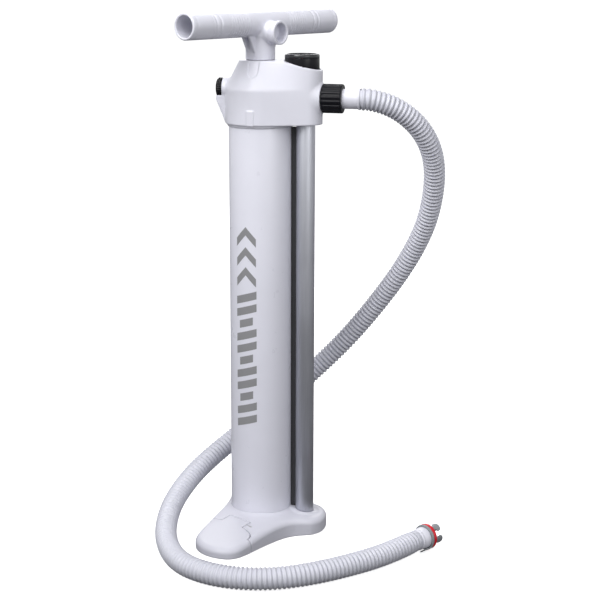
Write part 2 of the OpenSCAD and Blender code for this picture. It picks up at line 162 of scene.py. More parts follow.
def rubbery(name, color, rough=0.6):
    m, nt, p, l = _new(name)
    vec = _coords(nt)
    c = np.array(color)
    l.new(_mix(nt, _range(nt, _noise(nt, vec, 90.0, 5.0), 0, 1), tuple(c * 0.85), tuple(np.minimum(c * 1.12, 1))), p.inputs["Base Color"])
    l.new(_range(nt, _noise(nt, vec, 300.0, 4.0), rough - 0.08, rough + 0.1), p.inputs["Roughness"])
    l.new(_bump(nt, _noise(nt, vec, 1800.0, 3.0), 0.2, 0.0002), p.inputs["Normal"])
    return m


WHITE = (0.70, 0.70, 0.775)
M = {}
M["white"] = plastic("moulded_white", WHITE, rough=0.36, bump=0.10, flow=0.6)
M["barrel"] = plastic("barrel_white", (0.69, 0.69, 0.765), rough=0.30, grain=1400.0, bump=0.05, vary=0.02, flow=1.2)
M["hose"] = plastic("hose_white", (0.68, 0.685, 0.765), rough=0.42, grain=1800.0, bump=0.10, vary=0.035, flow=0.8, sss=0.05)
M["black"] = plastic("gloss_black", (0.006, 0.006, 0.008), rough=0.26, grain=2200.0, bump=0.08, vary=0.12, spec=0.20)
# the foot's white is a darker copy of the moulded white: painted shade that keeps the brightly lit toes and flanks from
# coming out too light
M["foot"] = plastic("foot_white_painted_shade", (0.60, 0.60, 0.67), rough=0.42, bump=0.12, vary=0.02)
M["rim"] = plastic("gauge_rim_gloss", (0.010, 0.010, 0.013), rough=0.15, grain=2200.0, bump=0.05, vary=0.1, spec=0.6, coat=0.4)
M["nut"] = plastic("nut_black", (0.007, 0.007, 0.010), rough=0.32, grain=2200.0, bump=0.10, vary=0.15, spec=0.18)
M["grey"] = plastic("fitting_grey", (0.23, 0.245, 0.26), rough=0.38, bump=0.12, vary=0.06)
M["print"] = plastic("printed_grey", (0.25, 0.25, 0.26), rough=0.34, grain=1400.0, bump=0.05, vary=0.03)
M["dark"] = plastic("dark_plastic", (0.06, 0.06, 0.065), rough=0.45, vary=0.1)
# near-black strip for the gap between barrel and side tube: a dark piece put in to give that gap painted shade
M["strip"] = plastic("painted_gap_shade_grey", (0.028, 0.028, 0.032), rough=0.5, vary=0.1)
M["natural"] = plastic("natural_plastic", (0.55, 0.55, 0.54), rough=0.45, vary=0.05)
M["alu"] = metal("satin_aluminium", (0.56, 0.57, 0.62), rough=0.44, streak=0.06)
M["rod"] = metal("rod_aluminium", (0.72, 0.73, 0.75), rough=0.22, streak=0.06)
M["steel"] = metal("zinc_steel", (0.55, 0.55, 0.54), rough=0.32, stretch=(1, 1, 1), streak=0.1, aniso=0.1)
M["brass"] = metal("gauge_brass", (0.62, 0.44, 0.17), rough=0.28, stretch=(1, 1, 1), streak=0.1, aniso=0.1)
M["rubber"] = rubbery("seal_rubber", (0.02, 0.02, 0.021))
M["red"] = rubbery("red_rubber", (0.62, 0.004, 0.016), rough=0.36)
M["needle"] = plastic("needle_red", (0.55, 0.02, 0.02), rough=0.4)
M["dial"] = plastic("dial_white", (0.82, 0.82, 0.80), rough=0.5, vary=0.02)


def lens_material():
    m, nt, p, l = _new("clear_lens")
    vec = _coords(nt)
    p.inputs["Base Color"].default_value = (0.95, 0.97, 1.0, 1)
    p.inputs["Transmission Weight"].default_value = 1.0
    p.inputs["IOR"].default_value = 1.49
    l.new(_range(nt, _noise(nt, vec, 220.0, 4.0), 0.02, 0.07), p.inputs["Roughness"])
    return m


M["lens"] = lens_material()

# ------------------------------------------------------------------ mesh helpers
def add_mesh(name, v, faces, mat, body, replaces=(), smooth=True, sharp=None):
    """v in mm, faces as an (n, 4) or (n, 3) array or a list."""
    me = bpy.data.meshes.new(name)
    v = np.asarray(v, np.float64) * MM
    if isinstance(faces, np.ndarray):
        k = faces.shape[1]
        me.vertices.add(len(v)); me.vertices.foreach_set("co", v.astype(np.float32).ravel())
        me.loops.add(faces.size); me.loops.foreach_set("vertex_index", faces.astype(np.int32).ravel())
        me.polygons.add(len(faces))
        me.polygons.foreach_set("loop_start", np.arange(0, faces.size, k, dtype=np.int32))
        me.polygons.foreach_set("loop_total", np.full(len(faces), k, np.int32))
        me.update(calc_edges=True)
    else:
        me.from_pydata([tuple(p) for p in v], [], faces)
    me.validate()
    me.polygons.foreach_set("use_smooth", np.full(len(me.polygons), smooth))
    if sharp is not None:
        me.set_sharp_from_angle(angle=math.radians(sharp))
    me.materials.append(mat)
    o = bpy.data.objects.new(name, me)
    scene.collection.objects.link(o)
    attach(o, body)
    if replaces:
        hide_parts(*replaces)
    return o


def rot_z(a):
    a = math.radians(a)
    return np.array([[math.cos(a), -math.sin(a), 0], [math.sin(a), math.cos(a), 0], [0, 0, 1.0]])


AX_Z = np.eye(3)
AX_X = np.array([[0, 0, 1.0], [1.0, 0, 0], [0, 1.0, 0]])        # local z -> world +X, local x -> +Y, local y -> +Z


def lathe(profile, seg=96, close=True, frame3=AX_Z, at=(0, 0, 0), shape=None):
    """Solid of revolution about local z. profile is a list of (r, z); shape(theta, r, z) may change r."""
    pr = np.array(profile, float)
    n = len(pr)
    th = np.linspace(0, 2 * np.pi, seg, endpoint=False)
    R = np.repeat(pr[None, :, 0], seg, 0)
    Z = np.repeat(pr[None, :, 1], seg, 0)
    T = np.repeat(th[:, None], n, 1)
    if shape is not None:
        R = shape(T, R, Z)
    P = np.stack([R * np.cos(T), R * np.sin(T), Z], -1).reshape(-1, 3)
    faces = []
    m = n if close else n - 1
    i = np.arange(seg)[:, None]
    j = np.arange(m)[None, :]
    i2, j2 = (i + 1) % seg, (j + 1) % n
    f = np.stack([i * n + j + 0 * i, i2 * n + j, i2 * n + j2, i * n + j2], -1).reshape(-1, 4)
    P = P @ np.asarray(frame3).T + np.array(at)
    return P, f


def rounded(points, r=0.6, steps=4):
    """Rounds the corners of a closed profile. points are (r, z) or (r, z, radius)."""
    out = []
    n = len(points)
    for i in range(n):
        p = np.array(points[i][:2], float)
        rad = points[i][2] if len(points[i]) > 2 else r
        a = np.array(points[i - 1][:2], float) - p
        b = np.array(points[(i + 1) % n][:2], float) - p
        la, lb = np.linalg.norm(a), np.linalg.norm(b)
        a, b = a / la, b / lb
        c = float(np.clip(a @ b, -1, 1))
        half = math.acos(c) / 2
        if rad <= 0 or half > 1.55:
            out.append(tuple(p)); continue
        t = min(rad / math.tan(half), 0.48 * la, 0.48 * lb)
        rr = t * math.tan(half)
        cen = p + unit(a + b) * (rr / math.sin(half))
        s, e = p + a * t - cen, p + b * t - cen
        for k in range(steps + 1):
            w = k / steps
            ang = math.pi - 2 * half
            u = (math.sin((1 - w) * ang) * s + math.sin(w * ang) * e) / math.sin(ang)
            out.append(tuple(cen + u))
    return out


# implicit surfaces: distances in mm, negative inside
def rmax(a, b, r):
    return np.minimum(-r, np.maximum(a, b)) + np.hypot(np.maximum(a + r, 0), np.maximum(b + r, 0))


def rmin(a, b, r):
    return -rmax(-a, -b, r)


def cyl(u, v, w, r, w0, w1, rd=0.5):
    """Capped cylinder about axis w, radius r, edges rounded by rd."""
    return rmax(np.hypot(u, v) - r, np.abs(w - (w0 + w1) / 2) - (w1 - w0) / 2, rd)


def boxd(x, y, z, lo, hi, rd=0.5):
    q = [np.abs(c - (a + b) / 2) - (b - a) / 2 + rd for c, a, b in zip((x, y, z), lo, hi)]
    out = np.sqrt(sum(np.maximum(k, 0) ** 2 for k in q))
    return out + np.minimum(np.maximum(np.maximum(q[0], q[1]), q[2]), 0) - rd


def surface(f, lo, hi, h, steps=3):
    """Naive surface nets of f = 0, vertices pulled onto the surface."""
    lo, hi = np.array(lo, float), np.array(hi, float)
    n = np.ceil((hi - lo) / h).astype(int) + 1
    xs, ys, zs = (lo[i] + h * np.arange(n[i]) for i in range(3))
    V = np.empty(tuple(n), np.float32)
    step = max(1, int(400000 // (n[1] * n[2])))
    for i in range(0, n[0], step):
        X, Y, Z = np.meshgrid(xs[i:i + step], ys, zs, indexing="ij")
        V[i:i + step] = f(X, Y, Z)
    inside = V < 0
    cn = n - 1
    total = int(np.prod(cn))
    acc = np.zeros((3, total)); cnt = np.zeros(total)
    quads = []
    for ax in range(3):
        a = [slice(None)] * 3; b = [slice(None)] * 3
        a[ax] = slice(0, -1); b[ax] = slice(1, None)
        m = inside[tuple(a)] != inside[tuple(b)]
        idx = np.argwhere(m)
        va = V[tuple(a)][m]; vb = V[tuple(b)][m]
        t = va / (va - vb)
        pos = idx.astype(float); pos[:, ax] += t
        flip = inside[tuple(a)][m]
        o1, o2 = (ax + 1) % 3, (ax + 2) % 3
        ring = []
        ok = np.ones(len(idx), bool)
        for d1, d2 in ((1, 1), (0, 1), (0, 0), (1, 0)):
            c = idx.copy(); c[:, o1] -= d1; c[:, o2] -= d2
            good = (c[:, o1] >= 0) & (c[:, o2] >= 0) & (c[:, o1] < cn[o1]) & (c[:, o2] < cn[o2])
            ok &= good
            flat = (np.clip(c[:, 0], 0, cn[0] - 1) * cn[1] + np.clip(c[:, 1], 0, cn[1] - 1)) * cn[2] + np.clip(c[:, 2], 0, cn[2] - 1)
            for k in range(3):
                acc[k] += np.bincount(flat[good], weights=pos[good, k], minlength=total)
            cnt += np.bincount(flat[good], minlength=total)
            ring.append(flat)
        q = np.stack(ring, 1)[ok]
        fl = flip[ok]
        q[~fl] = q[~fl][:, ::-1]
        quads.append(q)
    quads = np.concatenate(quads)
    used = np.unique(quads)
    remap = np.full(total, -1); remap[used] = np.arange(len(used))
    P = (acc[:, used] / cnt[used]).T * h + lo
    e = 0.15 * h
    for _ in range(steps):
        d = f(P[:, 0], P[:, 1], P[:, 2])
        g = np.stack([f(P[:, 0] + e * (k == 0), P[:, 1] + e * (k == 1), P[:, 2] + e * (k == 2)) -
                      f(P[:, 0] - e * (k == 0), P[:, 1] - e * (k == 1), P[:, 2] - e * (k == 2)) for k in range(3)], 1) / (2 * e)
        s = np.maximum((g ** 2).sum(1), 0.25)
        mv = -(d / s)[:, None] * g
        L = np.linalg.norm(mv, axis=1, keepdims=True)
        P += mv * np.minimum(1, 0.5 * h / np.maximum(L, 1e-9))
    return P, remap[quads]


# ------------------------------------------------------------------ hose and its fittings
ROUTE = [(117.5, 0, 530.4), (138, 4, 529), (156, 12, 522), (171, 21, 511), (183, 31, 498), (192, 43, 481),
         (197, 57, 462), (198, 70, 441), (196, 82, 419), (186, 104, 376), (168, 122, 335),
         (145, 133, 296), (119, 140, 259), (92, 142, 224), (63, 139, 191), (37, 131, 165),
         (14, 121, 143), (-9, 109, 123), (-31, 93, 104), (-52, 72, 86), (-74, 42, 69),
         (-92, 4, 52), (-101, -45, 34), (-98, -80, 24), (-91, -108, 18), (-75, -142, 14),
         (-54, -172, 13.4), (-31, -190, 13.4), (-9, -199, 13.4), (11, -203, 13.4), (30, -203, 13.4),
         (48, -200, 13.4), (66, -194, 13.4), (98, -175, 13.4), (129, -148, 13.4), (159, -116, 13.4),
         (175, -95, 13.6), (189, -74, 14.4), (203, -52.4, 15.6)]
END_AZ = 57.0
HOSE_R = 13.0


def smooth_path(points, t0, t1, step=1.0):
    """Centripetal Catmull-Rom through the points, resampled and lightly relaxed, straight at both ends."""
    P = np.array(points, float)
    P = np.vstack([P[0] - unit(t0) * np.linalg.norm(P[1] - P[0]), P, P[-1] + unit(t1) * np.linalg.norm(P[-1] - P[-2])])
    out = []
    for i in range(1, len(P) - 2):
        p0, p1, p2, p3 = P[i - 1:i + 3]
        k = [0.0]
        for a, b in ((p0, p1), (p1, p2), (p2, p3)):
            k.append(k[-1] + np.linalg.norm(b - a) ** 0.5)
        for t in np.linspace(k[1], k[2], 24, endpoint=False):
            a1 = (k[1] - t) / (k[1] - k[0]) * p0 + (t - k[0]) / (k[1] - k[0]) * p1
            a2 = (k[2] - t) / (k[2] - k[1]) * p1 + (t - k[1]) / (k[2] - k[1]) * p2
            a3 = (k[3] - t) / (k[3] - k[2]) * p2 + (t - k[2]) / (k[3] - k[2]) * p3
            b1 = (k[2] - t) / (k[2] - k[0]) * a1 + (t - k[0]) / (k[2] - k[0]) * a2
            b2 = (k[3] - t) / (k[3] - k[1]) * a2 + (t - k[1]) / (k[3] - k[1]) * a3
            out.append((k[2] - t) / (k[2] - k[1]) * b1 + (t - k[1]) / (k[2] - k[1]) * b2)
    out.append(P[-2])
    Q = np.array(out)
    # even out the spacing, then smooth the curve while its ends stay put
    def even(Q, step):
        s = np.r_[0, np.cumsum(np.linalg.norm(np.diff(Q, axis=0), axis=1))]
        n = int(round(s[-1] / step))
        g = np.linspace(0, s[-1], n + 1)
        return np.stack([np.interp(g, s, Q[:, k]) for k in range(3)], 1)
    Q = even(Q, 4.0)
    w = np.ones(len(Q)); w[:4] = 0; w[-4:] = 0
    w = w[:, None]
    for _ in range(22):
        L = np.zeros_like(Q)
        L[1:-1] = 0.5 * (Q[:-2] + Q[2:]) - Q[1:-1]
        Q = Q + 0.5 * L * w
    Q[:, 2] = np.maximum(Q[:, 2], 13.3)
    Q = even(Q, step)
    # round off the joints between the straight bits, ends kept
    n = int(round(7.0 / step))
    win = np.hanning(2 * n + 3)[1:-1]
    win /= win.sum()
    a, b = Q[0] - Q[1], Q[-1] - Q[-2]
    g = np.arange(1, n + 1)[:, None]
    X = np.vstack([(Q[0] + g * a)[::-1], Q, Q[-1] + g * b])
    Q = np.stack([np.convolve(X[:, k], win, "valid") for k in range(3)], 1)
    return even(Q, step)


PITCH = 5.2
centre = smooth_path(ROUTE, (1, 0, 0), (math.cos(math.radians(END_AZ)), math.sin(math.radians(END_AZ)), 0), PITCH / 10)


def tube(path, radius, sides=40):
    T = np.gradient(path, axis=0)
    T /= np.linalg.norm(T, axis=1, keepdims=True)
    # a frame carried along the path without twisting
    S = np.zeros_like(T)
    v = unit(np.cross([0, 0, 1.0], T[0]))
    for i in range(len(T)):
        v = v - T[i] * np.dot(v, T[i])
        v = v / np.linalg.norm(v)
        S[i] = v
    U = np.cross(T, S)
    th = np.linspace(0, 2 * np.pi, sides, endpoint=False)
    ring = np.cos(th)[None, :, None] * S[:, None] + np.sin(th)[None, :, None] * U[:, None]
    P = (path[:, None] + radius[:, None, None] * ring).reshape(-1, 3)
    i = np.arange(len(path) - 1)[:, None]; k = np.arange(sides)[None, :]
    k2 = (k + 1) % sides
    f = np.stack([i * sides + k, i * sides + k2, (i + 1) * sides + k2, (i + 1) * sides + k], -1).reshape(-1, 4)
    return P, f


def corrugated(path, r_out, depth, pitch):
    s = np.r_[0, np.cumsum(np.linalg.norm(np.diff(path, axis=0), axis=1))]
    ph = ((s - 5.6) / pitch) % 1.0
    wave = 0.5 + 0.5 * np.cos(2 * np.pi * ph)
    wave = 1 - (1 - wave) ** 1.3                      # broad crests, narrow valleys
    # the ribs fade out where the hose runs into its cuffs
    a = np.clip((s - 0.6) / 2.0, 0, 1); b = np.clip((s[-1] - s) / 16.0, 0, 1)
    low = r_out - depth
    end = 1 - b
    return (11.2 + (low - 11.2) * np.clip((s - 2.0) / 1.2, 0, 1) + depth * wave * np.clip((s - 2.4) / 2.0, 0, 1)) * b + (11.75 + 0.25 * wave * b) * end


outer = corrugated(centre, HOSE_R, 1.7, PITCH)
inner = outer - 1.4
P1, F1 = tube(centre, outer)
bore = np.vstack([centre[:-1:10], centre[-1:]])          # the plain bore needs few rings
P2, F2 = tube(bore, np.full(len(bore), 9.4))
sides = 40
off = len(P1)
cap0 = np.stack([np.arange(sides), off + np.arange(sides), off + (np.arange(sides) + 1) % sides, (np.arange(sides) + 1) % sides], 1)
base_i = (len(centre) - 1) * sides
end_i = off + (len(bore) - 1) * sides
cap1 = np.stack([base_i + np.arange(sides), base_i + (np.arange(sides) + 1) % sides, end_i + (np.arange(sides) + 1) % sides, end_i + np.arange(sides)], 1)
hose = add_mesh("corrugated_hose", np.vstack([P1, P2]), np.vstack([F1, F2[:, ::-1] + off, cap0, cap1]), M["hose"], "pump_body", ("hose",))
hose.shadow_terminator_geometry_offset = 0.25
hose.shadow_terminator_shading_offset = 0.25

E_AT = np.array(ROUTE[-1], float)
AX_E = rot_z(END_AZ) @ AX_X                      # local z along the hose's end

# smooth cuff with a soft bead, at the free end
P, F = lathe(rounded([(8.2, 0.1), (11.7, 0.1), (12.35, 1.2), (12.35, 2.6), (11.9, 3.8), (12.6, 6.5), (12.9, 9.0), (12.9, 13.1), (8.2, 13.1)], 0.5), 96, frame3=AX_E, at=E_AT)
cuff2 = add_mesh("hose_end_cuff", P, F, M["white"], "pump_body", ("end_cuff",), sharp=40)


def fitting(x, y, z):
    """Bayonet valve fitting: axis along local z, x sideways, y up."""
    rho = np.hypot(x, y)
    d = cyl(x, y, z, 15.2, 13.3, 16.2, 0.9)
    d = rmin(d, cyl(x, y, z, 9.6, 15.5, 23.0, 0.6), 0.6)
    d = rmin(d, cyl(x, y, z, 12.7, 21.3, 23.0, 0.5), 0.5)
    for a in (23, 113, 203, 293):
        c, s = math.cos(math.radians(a)), math.sin(math.radians(a))
        # e runs out along the radius, t round the turn
        e = -x * s + y * c
        t = x * c + y * s
        ang = np.arctan2(t, e)
        neck = np.maximum(np.maximum(np.abs(rho - 9.9) - 1.35, np.abs(t) - 3.1), np.abs(z - 25.0) - 5.0)
        lean = 0.35 * (z - 30.5)
        leaf = rmax(np.hypot(ang * 10.4 / 1.5, (z - 30.6) * 1.02) - 3.9, np.abs(rho - 10.9 - lean * 0.5) - 1.25, 0.7)
        leaf = np.where(np.abs(ang) < 1.2, leaf, 9.0)
        d = rmin(d, rmin(neck, leaf, 0.9), 0.5)
    # finger tab, low on the side facing the front
    c, s = math.cos(math.radians(-33)), math.sin(math.radians(-33))
    tx, ty = x * c + y * s, -x * s + y * c
    tab = boxd(tx, ty, z, (-5.4, -15.2, 3.6), (5.4, -13.5, 15.0), 0.7)
    for k in range(4):
        tab = rmax(tab, -(np.hypot(ty + 15.5, z - 5.2 - 1.9 * k) - 0.75), 0.2)
    d = rmin(d, tab, 0.7)
    d = rmax(d, -cyl(x, y, z, 11.9, -5, 13.0, 0.2), 0.4)
    d = rmax(d, -cyl(x, y, z, 7.0, 5, 40, 0.2), 0.5)
    return d


P, F = surface(fitting, (-17, -17, 2), (17, 17, 37), 0.5)
vf = add_mesh("bayonet_fitting", P @ AX_E.T + E_AT, F, M["grey"], "pump_body", ("valve_fitting",))
P, F = lathe(rounded([(9.7, 16.35), (14.9, 16.35), (15.3, 17.3), (15.3, 20.0), (14.7, 21.0), (9.7, 21.0)], 0.8), 96, frame3=AX_E, at=E_AT)
vg = add_mesh("red_gasket", P, F, M["red"], "pump_body", ("valve_gasket",), sharp=50)

# pump-end cuff
OUT = np.array([0, 0, 530.4])
P, F = lathe(rounded([(8.2, 91), (12, 91), (12, 93.9), (11.5, 94.1), (11.5, 117.0), (12.5, 117.7), (12.5, 119.2), (12.1, 119.9), (11.85, 119.9, 0.1), (11.85, 117.3, 0.1), (8.2, 117.3)], 0.3), 96, frame3=AX_X, at=OUT)
add_mesh("pump_end_cuff", P, F, M["white"], "pump_body", ("pump_cuff",), sharp=40)


# ------------------------------------------------------------------ union nut: longitudinal grip ribs
def nut_shape(T, R, Z):
    n = 18
    ph = (T * n / (2 * np.pi)) % 1.0
    w = np.abs(ph - 0.5) * 2
    rib = 1 / (1 + np.exp(-(0.55 - w) * 16))
    fade = np.clip((Z - 75.6) / 1.0, 0, 1) * np.clip((98.4 - Z) / 1.0, 0, 1)
    on = (R > 14.0)
    return R - on * (0.9 * (1 - rib)) * fade


prof = [(12.1, 74.5)] + [(15.9, 74.5), (16.9, 75.6)] + [(17.0, z) for z in np.linspace(76.6, 97.4, 12)] + [(16.95, 98.2), (16.4, 98.9), (15.6, 99.0), (11.6, 99.0), (11.6, 94.3), (12.1, 94.3)]
P, F = lathe(prof, 352, frame3=AX_X, at=OUT, shape=nut_shape)
add_mesh("ribbed_union_nut", P, F, M["nut"], "union_nut", ("union_nut",), sharp=45)

# ------------------------------------------------------------------ mode cap
CAP = np.array([0, 0, 540.3])
AX_MX = np.array([[0, 0, -1.0], [-1.0, 0, 0], [0, 1.0, 0]])      # local z -> world -X


def cap_shape(T, R, Z):
    ph = (T * 30 / (2 * np.pi)) % 1.0
    rib = 0.5 + 0.5 * np.cos(2 * np.pi * ph)
    on = (R > 11.0) & (Z > 45.4) & (Z < 50.8)
    return R - on * 0.45 * (1 - rib ** 0.7)


prof = rounded([(0.01, 50.6, 0), (6.5, 50.6, 1.2), (7.6, 51.9, 0.8), (10.2, 51.95, 1.3), (11.5, 50.6, 0.8)], 0.6, 4) + \
       [(11.85, 50.2), (11.85, 48.9), (11.2, 48.6), (11.2, 48.2), (11.85, 47.9), (11.85, 46.6), (11.2, 46.3), (11.2, 45.9), (11.8, 45.6), (11.8, 44.9), (11.2, 44.75), (6.3, 44.7), (6.3, 36.1), (0.01, 36.0)]
P, F = lathe(prof, 240, close=False, frame3=AX_MX, at=CAP, shape=cap_shape)
add_mesh("ribbed_port_cap", P, F, M["black"], "mode_cap", ("mode_cap",), sharp=45)

# ------------------------------------------------------------------ foot
def closed_spline(pts, k=8):
    P = np.array(pts, float); n = len(P); out = []
    for i in range(n):
        p0, p1, p2, p3 = P[i - 1], P[i], P[(i + 1) % n], P[(i + 2) % n]
        for t in np.linspace(0, 1, k, endpoint=False):
            out.append(0.5 * (2 * p1 + (p2 - p0) * t + (2 * p0 - 5 * p1 + 4 * p2 - p3) * t * t + (3 * p1 - p0 - 3 * p2 + p3) * t ** 3))
    return np.array(out)


def poly_sdf(pts, X, Y):
    d = np.full(X.shape, 1e9); s = np.ones(X.shape)
    n = len(pts)
    for i in range(n):
        a, b = pts[i], pts[i - 1]
        ex, ey = b[0] - a[0], b[1] - a[1]
        wx, wy = X - a[0], Y - a[1]
        t = np.clip((wx * ex + wy * ey) / (ex * ex + ey * ey + 1e-12), 0, 1)
        d = np.minimum(d, (wx - ex * t) ** 2 + (wy - ey * t) ** 2)
        c1, c2, c3 = Y >= a[1], Y < b[1], ex * wy > ey * wx
        s = np.where((c1 & c2 & c3) | (~c1 & ~c2 & ~c3), -s, s)
    return s * np.sqrt(d)


class Grid2:
    def __init__(self, fn, lo, hi, h):
        self.lo, self.h = np.array(lo, float), h
        self.n = np.ceil((np.array(hi) - self.lo) / h).astype(int) + 1
        X, Y = np.meshgrid(self.lo[0] + h * np.arange(self.n[0]), self.lo[1] + h * np.arange(self.n[1]), indexing="ij")
        self.v = fn(X, Y)

    def __call__(self, x, y):
        u = np.clip((x - self.lo[0]) / self.h, 0, self.n[0] - 1.001)
        v = np.clip((y - self.lo[1]) / self.h, 0, self.n[1] - 1.001)
        i, j = u.astype(int), v.astype(int)
        a, b = u - i, v - j
        V = self.v
        return (V[i, j] * (1 - a) * (1 - b) + V[i + 1, j] * a * (1 - b) + V[i, j + 1] * (1 - a) * b + V[i + 1, j + 1] * a * b)


HALF = [(-46, 0), (-49, -30), (-54, -60), (-58, -86), (-56, -100), (-47, -113), (-34, -122), (-20, -126), (-8, -125.5), (2, -119),
        (10, -106), (20, -84), (30, -64), (40, -48), (50, -38), (61, -32), (71, -27), (78, -18), (81, -7)]
OUTLINE = HALF + [(x, -y) for x, y in HALF[:0:-1]]
foot2d = Grid2(lambda X, Y: poly_sdf(closed_spline(OUTLINE), X, Y), (-66, -134), (90, 134), 0.5)
TOE_AT, TOE_TURN = np.array([-17.7, -56.1]), math.radians(-28)
TOE_CUT = [(-70, -10), (-28, -9), (-17.1, -7.3), (-17.1, 7.6), (17.1, 7.6), (17.1, -7.3), (24, -8.4), (30, -10.3), (35, -12.8), (38.6, -16.0), (41, -20), (42, -24), (70, -25), (70, -110), (-70, -110)]
toe2d = Grid2(lambda X, Y: poly_sdf(np.array(TOE_CUT), X, Y), (-72, -100), (72, 60), 0.5)
PIN_Z = 19.2


def foot_shell(x, y, z):
    rho = np.hypot(x, y)
    roof = 24.0 - 0.14 * (rho - 41) + 2.4 * np.exp(-np.maximum(rho - 37.5, 0) / 2.6)
    o = foot2d(x, y)
    rs = np.hypot(x - 54.7, y)
    roof = roof + 1.3 / (1 + np.exp((rs - 17.0) / 0.8)) * 1.0
    d = rmax(o + 0.1, (z - roof) * 0.985, 6.5)
    d = rmax(d, -z + 0.05, 1.0)
    return d


def toe_local(x, y):
    c, s = math.cos(TOE_TURN), math.sin(TOE_TURN)
    dx, dy = x - TOE_AT[0], y - TOE_AT[1]
    return dx * c + dy * s, -dx * s + dy * c


def front_toe(x, y, z):
    u, v = toe_local(x, y)
    d = rmax(foot_shell(x, y, z), toe2d(u, v) + 0.55, 0.5)
    d = rmax(d, -boxd(u, v, z, (-40, -7.0, -20), (40, 40, PIN_Z - 5), 0.3), 0.4)
    return d


def base(x, y, z):
    rho = np.hypot(x, y)
    d = foot_shell(x, y, z)
    for s in (1, -1):
        u, v = toe_local(x, s * y)
        tongue = rmax(np.abs(u) - 17.5, np.abs(v) - 8.9, 0.3)
        seam = np.where(z > 8.0, toe2d(u, v) - 0.3, np.maximum(toe2d(u, v) - 0.3, v + 6.9))
        seam = np.minimum(seam, np.maximum(tongue, np.maximum(8.0 - z, np.maximum(z - 19.0, v - 8.6))))
        d = rmax(d, -seam, 0.5)
    d = rmax(d, -np.maximum(rho - 37.62, 10 - z), 0.5)
    d = rmax(d, -np.maximum(np.hypot(x - 54.7, y) - 11.25, 11.0 - z), 0.5)
    # shallow recess underneath for the cover plate
    plate = np.minimum(rho - 32.4, np.minimum(np.maximum(np.abs(y) - 18.4, np.abs(x - 31) - 31), np.hypot(x - 62, y) - 18.4))
    d = rmax(d, -np.maximum(plate, z - 2.75), 0.2)
    return d


P, F = surface(base, (-58, -116, -1), (85, 116, 30), 0.75)
add_mesh("foot_base", P, F, M["foot"], "pump_body", ("base",))
P, F = surface(front_toe, (-64, -132, -1), (30, -34, 28), 0.8)
add_mesh("front_toe_shell", P, F, M["foot"], "front_toe", ("front_toe",))
Pm = P * np.array([1, -1, 1])
add_mesh("rear_toe_shell", Pm, F[:, ::-1], M["foot"], "rear_toe", ("rear_toe",))

# ------------------------------------------------------------------ head
def teardrop(x, y, r1, r2, h):
    """Hull of a circle r1 at 0 and a circle r2 at x = h."""
    px, py = np.abs(y), x
    b = (r1 - r2) / h
    a = np.sqrt(1 - b * b)
    k = -b * px + a * py
    d1 = np.hypot(px, py) - r1
    d2 = np.hypot(px, py - h) - r2
    d3 = px * a + py * b - r1
    return np.where(k < 0, d1, np.where(k > a * h, d2, d3))


def softplus(v, w):
    return w * np.logaddexp(0, v / w)


HZ = 500.0


